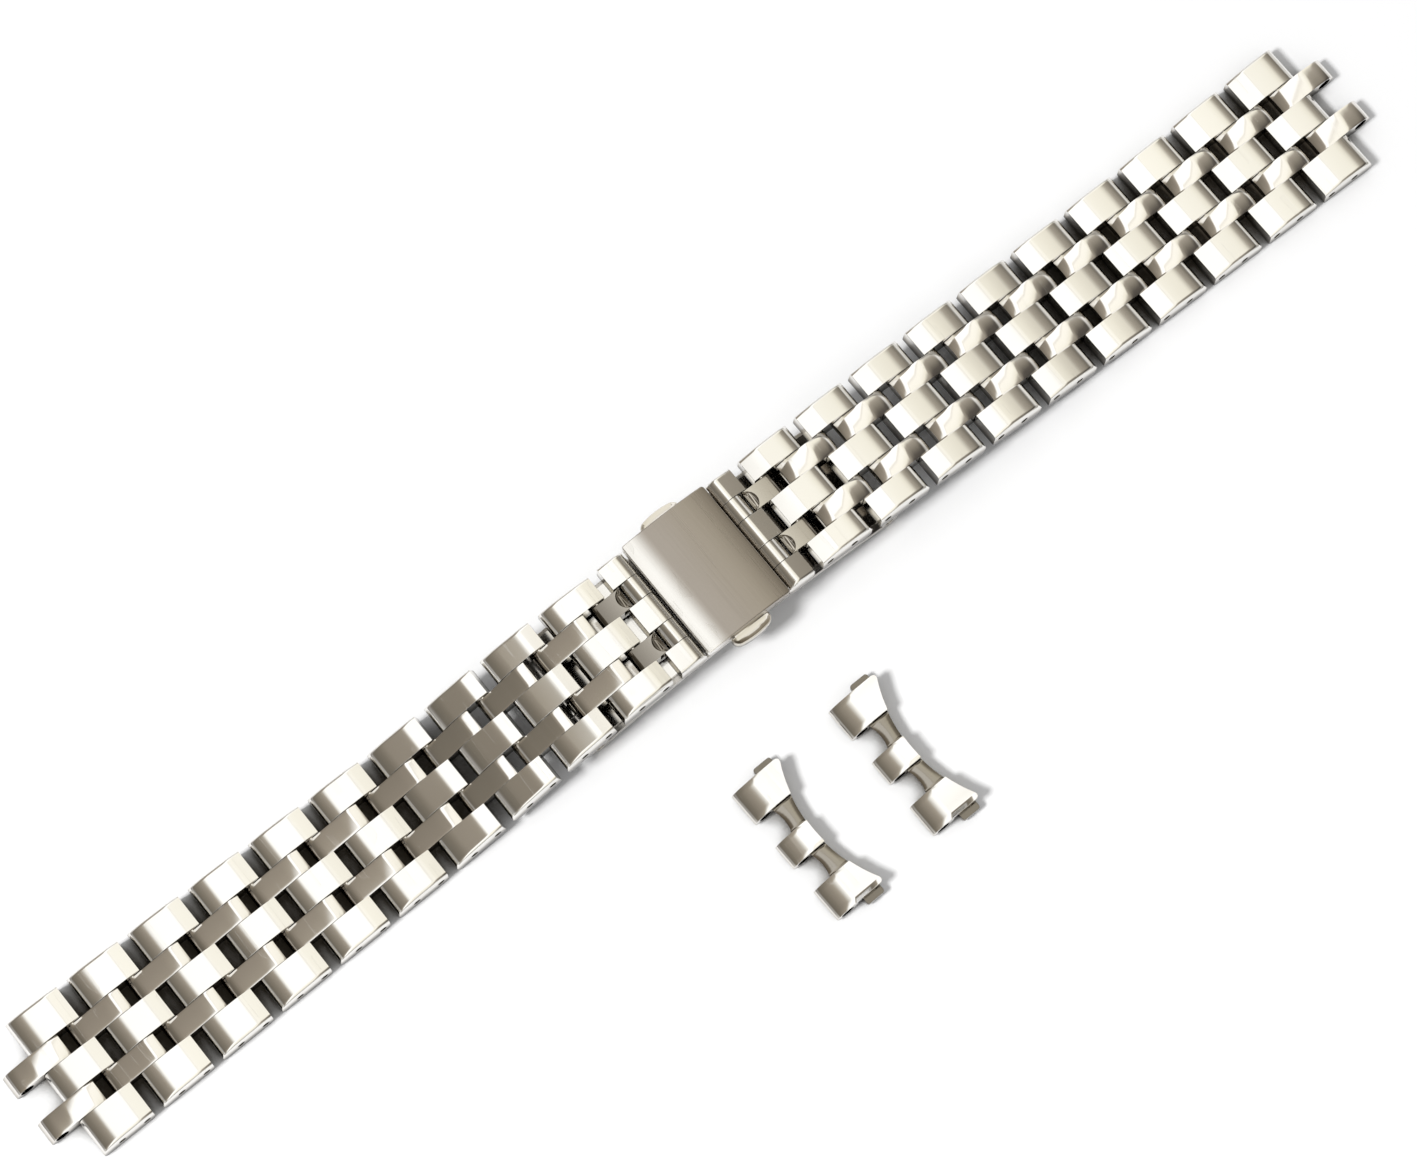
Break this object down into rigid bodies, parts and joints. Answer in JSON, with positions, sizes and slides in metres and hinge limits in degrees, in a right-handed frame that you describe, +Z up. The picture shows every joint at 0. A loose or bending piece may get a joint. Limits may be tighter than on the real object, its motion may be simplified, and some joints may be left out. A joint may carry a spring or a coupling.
{
  "type": "watch bracelet",
  "caption": "Steel watch bracelet of polished brick links that taper to a folding butterfly clasp with side push buttons, with its curved end links lying loose beside it.",
  "frame": {"origin": "middle of the pad under the closed clasp", "axes": "+X along the bracelet, +Y across it away from the loose end links, +Z up through the cover plate"},
  "size_m": [0.1779, 0.0458, 0.0082],
  "materials": {
    "link_steel": "polished stainless steel with fine wear scratches",
    "bridge_steel": "mirror polished stainless steel",
    "cover_steel": "fine brushing across the bracelet, polished edges",
    "end_link_steel": "polished folded sheet",
    "spring_steel": "drawn spring wire",
    "button_steel": "polished",
    "pin_steel": "turned pin stock",
    "clasp_steel": "satin sheet with polished edges"
  },
  "bodies": {
    "clasp": {"base_plate": "clasp_steel", "clasp_frame": "clasp_steel", "cover_plate": "cover_steel", "base_hinge_pin_right": "pin_steel", "base_hinge_pin_left": "pin_steel", "button_spring_back": "spring_steel", "button_spring_front": "spring_steel", "end_link_a": "end_link_steel", "end_link_b": "end_link_steel"},
    "blade_left": {"blade_left": "clasp_steel"},
    "end_piece_left": {"end_piece_left": "link_steel", "end_hinge_pin_left": "pin_steel"},
    "blade_right": {"blade_right": "clasp_steel"},
    "end_piece_right": {"end_piece_right": "link_steel", "end_hinge_pin_right": "pin_steel"},
    "button_back": {"button_back": "button_steel"},
    "button_front": {"button_front": "button_steel"},
    "link_left_01": {"link_left_01": "link_steel"},
    "bridge_left_01": {"bridge_left_01": "bridge_steel"},
    "link_left_02": {"link_left_02": "link_steel"},
    "bridge_left_02": {"bridge_left_02": "bridge_steel"},
    "link_left_03": {"link_left_03": "link_steel"},
    "bridge_left_03": {"bridge_left_03": "bridge_steel"},
    "link_left_04": {"link_left_04": "link_steel"},
    "bridge_left_04": {"bridge_left_04": "bridge_steel"},
    "link_left_05": {"link_left_05": "link_steel"},
    "bridge_left_05": {"bridge_left_05": "bridge_steel"},
    "link_left_06": {"link_left_06": "link_steel"},
    "bridge_left_06": {"bridge_left_06": "bridge_steel"},
    "link_left_07": {"link_left_07": "link_steel"},
    "bridge_left_07": {"bridge_left_07": "bridge_steel"},
    "link_left_08": {"link_left_08": "link_steel"},
    "bridge_left_08": {"bridge_left_08": "bridge_steel"},
    "link_left_09": {"link_left_09": "link_steel"},
    "bridge_left_09": {"bridge_left_09": "bridge_steel"},
    "link_left_10": {"link_left_10": "link_steel"},
    "bridge_left_10": {"bridge_left_10": "bridge_steel"},
    "link_right_01": {"link_right_01": "link_steel"},
    "bridge_right_01": {"bridge_right_01": "bridge_steel"},
    "link_right_02": {"link_right_02": "link_steel"},
    "bridge_right_02": {"bridge_right_02": "bridge_steel"},
    "link_right_03": {"link_right_03": "link_steel"},
    "bridge_right_03": {"bridge_right_03": "bridge_steel"},
    "link_right_04": {"link_right_04": "link_steel"},
    "bridge_right_04": {"bridge_right_04": "bridge_steel"},
    "link_right_05": {"link_right_05": "link_steel"},
    "bridge_right_05": {"bridge_right_05": "bridge_steel"},
    "link_right_06": {"link_right_06": "link_steel"},
    "bridge_right_06": {"bridge_right_06": "bridge_steel"},
    "link_right_07": {"link_right_07": "link_steel"},
    "bridge_right_07": {"bridge_right_07": "bridge_steel"},
    "link_right_08": {"link_right_08": "link_steel"},
    "bridge_right_08": {"bridge_right_08": "bridge_steel"},
    "link_right_09": {"link_right_09": "link_steel"},
    "bridge_right_09": {"bridge_right_09": "bridge_steel"},
    "link_right_10": {"link_right_10": "link_steel"},
    "bridge_right_10": {"bridge_right_10": "bridge_steel"}
  },
  "joints": [
    {"name": "blade_left_fold", "type": "hinge", "parent": "clasp", "child": "blade_left", "pos_m": [-0.0195, 0, -0.0019], "axis": [0, 1, 0], "range_deg": [-134, 0]},
    {"name": "blade_right_fold", "type": "hinge", "parent": "clasp", "child": "blade_right", "pos_m": [0.0195, 0, -0.0019], "axis": [0, -1, 0], "range_deg": [-134, 0]},
    {"name": "button_back_press", "type": "slide", "parent": "clasp", "child": "button_back", "axis": [0, -1, 0], "range_m": [0, 0.0006], "stiffness_N_per_m": 500, "springref_m": -0.0006, "deforming": ["button_spring_back"]},
    {"name": "button_front_press", "type": "slide", "parent": "clasp", "child": "button_front", "axis": [0, 1, 0], "range_m": [0, 0.0006], "stiffness_N_per_m": 500, "springref_m": -0.0006, "deforming": ["button_spring_front"]},
    {"name": "end_piece_left_swivel", "type": "hinge", "parent": "blade_left", "child": "end_piece_left", "pos_m": [-0.0068, 0, 0.00318], "axis": [0, -1, 0], "range_deg": [-134, 0]},
    {"name": "end_piece_right_swivel", "type": "hinge", "parent": "blade_right", "child": "end_piece_right", "pos_m": [0.0068, 0, 0.00318], "axis": [0, 1, 0], "range_deg": [-134, 0]},
    {"name": "pin_left_01", "type": "hinge", "parent": "end_piece_left", "child": "link_left_01", "pos_m": [-0.011, 0, 0.00318], "axis": [0, -1, 0], "range_deg": [-6, 0]},
    {"name": "pin_left_02", "type": "hinge", "parent": "link_left_01", "child": "bridge_left_01", "pos_m": [-0.0142, 0, 0.00318], "axis": [0, -1, 0], "range_deg": [-6, 0]},
    {"name": "pin_left_03", "type": "hinge", "parent": "bridge_left_01", "child": "link_left_02", "pos_m": [-0.01869, 0, 0.00296], "axis": [0, -1, 0], "range_deg": [-6, 11.5]},
    {"name": "pin_left_04", "type": "hinge", "parent": "link_left_02", "child": "bridge_left_02", "pos_m": [-0.02186, 0, 0.00246], "axis": [0, -1, 0], "range_deg": [-6, 11.5]},
    {"name": "pin_left_05", "type": "hinge", "parent": "bridge_left_02", "child": "link_left_03", "pos_m": [-0.02623, 0, 0.00142], "axis": [0, -1, 0], "range_deg": [-6, 11.5]},
    {"name": "pin_left_06", "type": "hinge", "parent": "link_left_03", "child": "bridge_left_03", "pos_m": [-0.02932, 0, 0.00057], "axis": [0, -1, 0], "range_deg": [-6, 11.5]},
    {"name": "pin_left_07", "type": "hinge", "parent": "bridge_left_03", "child": "link_left_04", "pos_m": [-0.03367, 0, -0.00056], "axis": [0, -1, 0], "range_deg": [-6, 11.5]},
    {"name": "pin_left_08", "type": "hinge", "parent": "link_left_04", "child": "bridge_left_04", "pos_m": [-0.03682, 0, -0.00117], "axis": [0, -1, 0], "range_deg": [-6, 11.5]},
    {"name": "pin_left_09", "type": "hinge", "parent": "bridge_left_04", "child": "link_left_05", "pos_m": [-0.04129, 0, -0.0016], "axis": [0, -1, 0], "range_deg": [-6, 11.5]},
    {"name": "pin_left_10", "type": "hinge", "parent": "link_left_05", "child": "bridge_left_05", "pos_m": [-0.04449, 0, -0.0016], "axis": [0, -1, 0], "range_deg": [-6, 11.5]},
    {"name": "pin_left_11", "type": "hinge", "parent": "bridge_left_05", "child": "link_left_06", "pos_m": [-0.04899, 0, -0.0016], "axis": [0, -1, 0], "range_deg": [-6, 11.5]},
    {"name": "pin_left_12", "type": "hinge", "parent": "link_left_06", "child": "bridge_left_06", "pos_m": [-0.05219, 0, -0.0016], "axis": [0, -1, 0], "range_deg": [-6, 11.5]},
    {"name": "pin_left_13", "type": "hinge", "parent": "bridge_left_06", "child": "link_left_07", "pos_m": [-0.05669, 0, -0.0016], "axis": [0, -1, 0], "range_deg": [-6, 11.5]},
    {"name": "pin_left_14", "type": "hinge", "parent": "link_left_07", "child": "bridge_left_07", "pos_m": [-0.05989, 0, -0.0016], "axis": [0, -1, 0], "range_deg": [-6, 11.5]},
    {"name": "pin_left_15", "type": "hinge", "parent": "bridge_left_07", "child": "link_left_08", "pos_m": [-0.06439, 0, -0.0016], "axis": [0, -1, 0], "range_deg": [-6, 11.5]},
    {"name": "pin_left_16", "type": "hinge", "parent": "link_left_08", "child": "bridge_left_08", "pos_m": [-0.06759, 0, -0.0016], "axis": [0, -1, 0], "range_deg": [-6, 11.5]},
    {"name": "pin_left_17", "type": "hinge", "parent": "bridge_left_08", "child": "link_left_09", "pos_m": [-0.07209, 0, -0.0016], "axis": [0, -1, 0], "range_deg": [-6, 11.5]},
    {"name": "pin_left_18", "type": "hinge", "parent": "link_left_09", "child": "bridge_left_09", "pos_m": [-0.07529, 0, -0.0016], "axis": [0, -1, 0], "range_deg": [-6, 11.5]},
    {"name": "pin_left_19", "type": "hinge", "parent": "bridge_left_09", "child": "link_left_10", "pos_m": [-0.07979, 0, -0.0016], "axis": [0, -1, 0], "range_deg": [-6, 11.5]},
    {"name": "pin_left_20", "type": "hinge", "parent": "link_left_10", "child": "bridge_left_10", "pos_m": [-0.08299, 0, -0.0016], "axis": [0, -1, 0], "range_deg": [-6, 11.5]},
    {"name": "pin_right_01", "type": "hinge", "parent": "end_piece_right", "child": "link_right_01", "pos_m": [0.011, 0, 0.00313], "axis": [0, 1, 0], "range_deg": [-6, 0]},
    {"name": "pin_right_02", "type": "hinge", "parent": "link_right_01", "child": "bridge_right_01", "pos_m": [0.0142, 0, 0.00302], "axis": [0, 1, 0], "range_deg": [-6, 0]},
    {"name": "pin_right_03", "type": "hinge", "parent": "bridge_right_01", "child": "link_right_02", "pos_m": [0.01869, 0, 0.00276], "axis": [0, 1, 0], "range_deg": [-6, 11.5]},
    {"name": "pin_right_04", "type": "hinge", "parent": "link_right_02", "child": "bridge_right_02", "pos_m": [0.02188, 0, 0.00252], "axis": [0, 1, 0], "range_deg": [-6, 11.5]},
    {"name": "pin_right_05", "type": "hinge", "parent": "bridge_right_02", "child": "link_right_03", "pos_m": [0.02636, 0, 0.0021], "axis": [0, 1, 0], "range_deg": [-6, 11.5]},
    {"name": "pin_right_06", "type": "hinge", "parent": "link_right_03", "child": "bridge_right_03", "pos_m": [0.02954, 0, 0.00176], "axis": [0, 1, 0], "range_deg": [-6, 11.5]},
    {"name": "pin_right_07", "type": "hinge", "parent": "bridge_right_03", "child": "link_right_04", "pos_m": [0.03401, 0, 0.00124], "axis": [0, 1, 0], "range_deg": [-6, 11.5]},
    {"name": "pin_right_08", "type": "hinge", "parent": "link_right_04", "child": "bridge_right_04", "pos_m": [0.03719, 0, 0.00085], "axis": [0, 1, 0], "range_deg": [-6, 11.5]},
    {"name": "pin_right_09", "type": "hinge", "parent": "bridge_right_04", "child": "link_right_05", "pos_m": [0.04166, 0, 0.00031], "axis": [0, 1, 0], "range_deg": [-6, 11.5]},
    {"name": "pin_right_10", "type": "hinge", "parent": "link_right_05", "child": "bridge_right_05", "pos_m": [0.04484, 0, -0.00006], "axis": [0, 1, 0], "range_deg": [-6, 11.5]},
    {"name": "pin_right_11", "type": "hinge", "parent": "bridge_right_05", "child": "link_right_06", "pos_m": [0.04931, 0, -0.00055], "axis": [0, 1, 0], "range_deg": [-6, 11.5]},
    {"name": "pin_right_12", "type": "hinge", "parent": "link_right_06", "child": "bridge_right_06", "pos_m": [0.0525, 0, -0.00085], "axis": [0, 1, 0], "range_deg": [-6, 11.5]},
    {"name": "pin_right_13", "type": "hinge", "parent": "bridge_right_06", "child": "link_right_07", "pos_m": [0.05698, 0, -0.0012], "axis": [0, 1, 0], "range_deg": [-6, 11.5]},
    {"name": "pin_right_14", "type": "hinge", "parent": "link_right_07", "child": "bridge_right_07", "pos_m": [0.06018, 0, -0.00139], "axis": [0, 1, 0], "range_deg": [-6, 11.5]},
    {"name": "pin_right_15", "type": "hinge", "parent": "bridge_right_07", "child": "link_right_08", "pos_m": [0.06467, 0, -0.00155], "axis": [0, 1, 0], "range_deg": [-6, 11.5]},
    {"name": "pin_right_16", "type": "hinge", "parent": "link_right_08", "child": "bridge_right_08", "pos_m": [0.06787, 0, -0.0016], "axis": [0, 1, 0], "range_deg": [-6, 11.5]},
    {"name": "pin_right_17", "type": "hinge", "parent": "bridge_right_08", "child": "link_right_09", "pos_m": [0.07237, 0, -0.0016], "axis": [0, 1, 0], "range_deg": [-6, 11.5]},
    {"name": "pin_right_18", "type": "hinge", "parent": "link_right_09", "child": "bridge_right_09", "pos_m": [0.07557, 0, -0.0016], "axis": [0, 1, 0], "range_deg": [-6, 11.5]},
    {"name": "pin_right_19", "type": "hinge", "parent": "bridge_right_09", "child": "link_right_10", "pos_m": [0.08007, 0, -0.0016], "axis": [0, 1, 0], "range_deg": [-6, 11.5]},
    {"name": "pin_right_20", "type": "hinge", "parent": "link_right_10", "child": "bridge_right_10", "pos_m": [0.08327, 0, -0.0016], "axis": [0, 1, 0], "range_deg": [-6, 11.5]}
  ],
  "couplings": [
    {"joint": "end_piece_left_swivel", "follows": "blade_left_fold", "ratio": 1},
    {"joint": "end_piece_right_swivel", "follows": "blade_right_fold", "ratio": 1}
  ]
}
